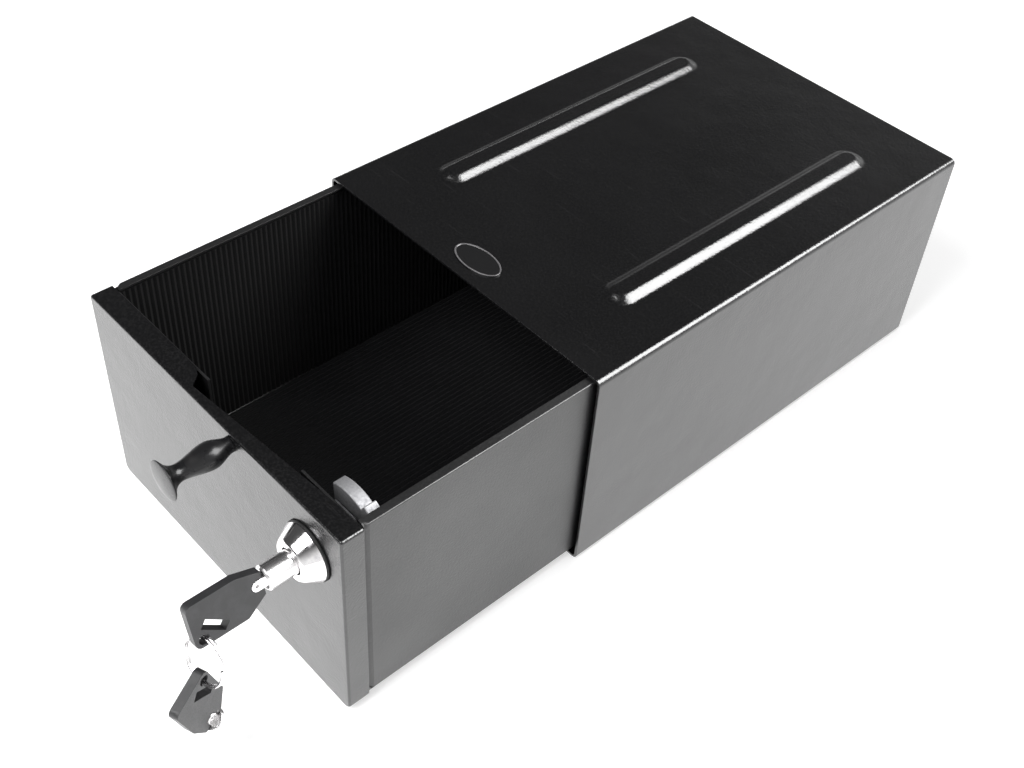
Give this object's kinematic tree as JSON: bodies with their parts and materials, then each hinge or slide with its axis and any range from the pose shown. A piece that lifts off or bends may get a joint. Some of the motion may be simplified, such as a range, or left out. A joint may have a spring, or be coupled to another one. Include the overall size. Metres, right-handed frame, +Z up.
{
  "type": "car safe",
  "caption": "Steel car safe: ribbed-top rectangular sleeve with a lined drawer that slides out of its front, with a turned knob and a tubular-key cam lock, keys on a split ring.",
  "frame": {"origin": "centre of the flat underside of the sleeve", "axes": "+Z up out of the ribbed roof, +Y from the drawer front towards the closed back panel, +X to the right of someone facing the drawer front, where the lock is"},
  "size_m": [0.2, 0.5032, 0.13],
  "materials": {
    "black_paint": "satin black powder coat on sheet steel",
    "plate_paint": "semi-gloss black, thin bright worn edge",
    "bracket_paint": "satin black",
    "glide_felt": "dense dark felt",
    "lining": "black ribbed fibre lining",
    "knob_plastic": "glossy black moulded plastic",
    "zinc": "bright zinc plate",
    "chrome": "bright nickel-chrome plate",
    "gasket_rubber": "matt black",
    "bow_plastic": "fine-grained dark grey plastic"
  },
  "bodies": {
    "sleeve_body": {"sleeve_shell": "black_paint", "sleeve_back_panel": "black_paint", "oval_plate": "plate_paint", "latch_strike": "bracket_paint", "drawer_stop": "bracket_paint", "glide_strip_left": "glide_felt", "glide_strip_right": "glide_felt"},
    "drawer_body": {"drawer_front": "black_paint", "drawer_tray": "black_paint", "lining_floor": "lining", "lining_left": "lining", "lining_right": "lining", "lining_front": "lining", "lining_back": "lining", "knob": "knob_plastic", "knob_screw": "zinc", "knob_washer": "zinc", "lock_body": "chrome", "lock_gasket": "gasket_rubber", "lock_washer": "zinc", "lock_nut": "zinc"},
    "plug_body": {"lock_plug": "chrome", "lock_cam": "zinc", "cam_washer": "zinc", "cam_nut": "zinc"},
    "key_body": {"key_barrel": "chrome", "key_bow": "bow_plastic"},
    "ring_body": {"split_ring": "chrome"},
    "spare_key_body": {"spare_key_barrel": "chrome", "spare_key_bow": "bow_plastic"}
  },
  "joints": [
    {"name": "drawer_slide", "type": "slide", "parent": "sleeve_body", "child": "drawer_body", "axis": [0, -1, 0], "range_m": [-0.1436, 0.0594]},
    {"name": "lock_turn", "type": "hinge", "parent": "drawer_body", "child": "plug_body", "pos_m": [0.0737, -0.2841, 0.0979], "axis": [0, -1, 0], "range_deg": [0, 90]},
    {"name": "key_withdraw", "type": "slide", "parent": "plug_body", "child": "key_body", "axis": [0, -1, 0], "range_m": [0, 0.02]},
    {"name": "ring_swing", "type": "hinge", "parent": "key_body", "child": "ring_body", "pos_m": [0.07595, -0.3393, 0.08888], "axis": [0.9703, 0, 0.2419], "range_deg": [-20, 20]},
    {"name": "spare_key_swing", "type": "hinge", "parent": "ring_body", "child": "spare_key_body", "pos_m": [0.07847, -0.34465, 0.06718], "axis": [-0.9354, -0.3536, -0.0027], "range_deg": [-20, 20]}
  ]
}
